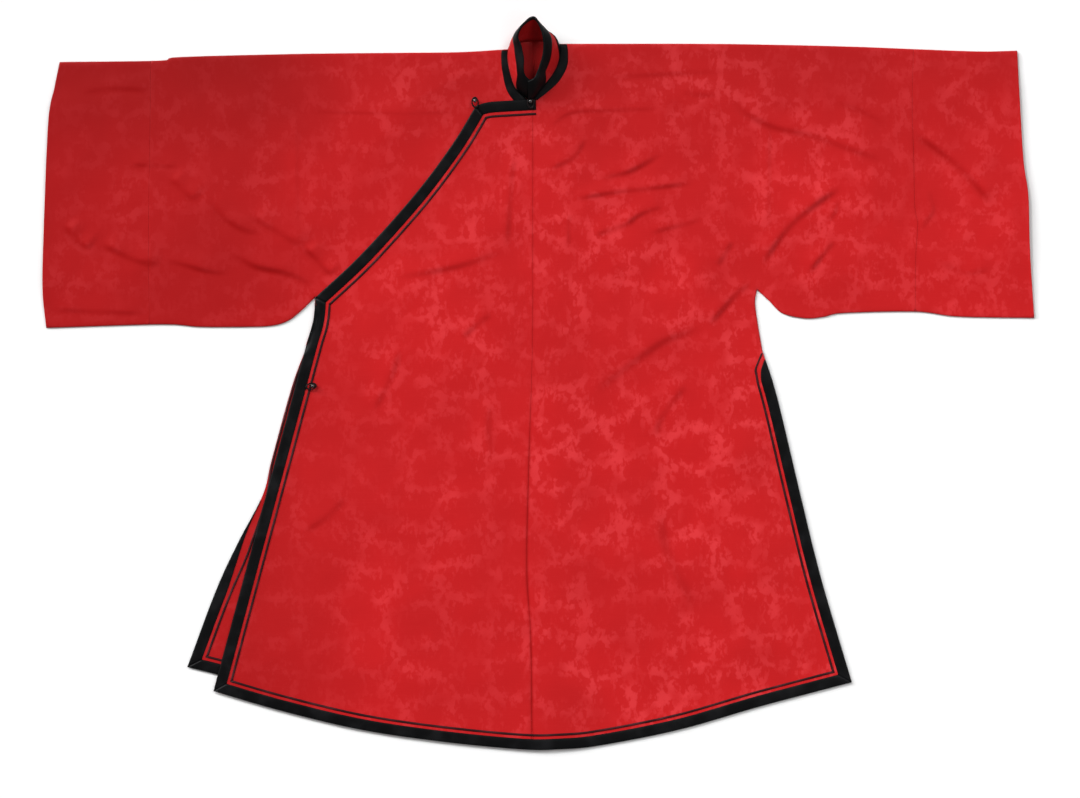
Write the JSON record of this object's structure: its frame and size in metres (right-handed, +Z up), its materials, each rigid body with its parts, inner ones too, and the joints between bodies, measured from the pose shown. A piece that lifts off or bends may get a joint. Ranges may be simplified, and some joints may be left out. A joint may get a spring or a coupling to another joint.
{
  "type": "chinese robe",
  "caption": "Wide-sleeved side-fastening Chinese robe of red silk damask with black satin bindings and a small stand collar, laid flat with its front up.",
  "frame": {"origin": "under the middle of the robe, on the surface it lies on", "axes": "+X towards the wearer's left cuff, +Y towards the collar, +Z up from the surface through back and front"},
  "size_m": [1.4013, 1.0348, 0.0354],
  "materials": {
    "silk_damask": "self-patterned silk with a soft sheen",
    "black_satin": "black satin",
    "button_ball": "dark polished ball"
  },
  "bodies": {
    "root": {"left_body": "silk_damask", "right_body": "silk_damask", "overlap_front": "silk_damask", "left_sleeve_end": "silk_damask", "right_sleeve_end": "silk_damask", "collar": "silk_damask", "collar_binding": "black_satin", "neck_binding_left": "black_satin", "neck_binding_right": "black_satin", "placket_binding": "black_satin", "placket_piping": "black_satin", "overlap_side_binding": "black_satin", "overlap_side_piping": "black_satin", "hem_binding": "black_satin", "hem_piping": "black_satin", "slit_binding": "black_satin", "slit_piping": "black_satin", "inner_side_binding": "black_satin", "inner_hem_binding": "black_satin", "inner_piping": "black_satin", "back_binding_left": "black_satin", "back_binding_right": "black_satin", "loop_throat": "black_satin", "loop_corner": "black_satin", "loop_side": "black_satin", "button_throat": "button_ball", "button_corner": "button_ball", "button_side": "button_ball"}
  },
  "joints": []
}
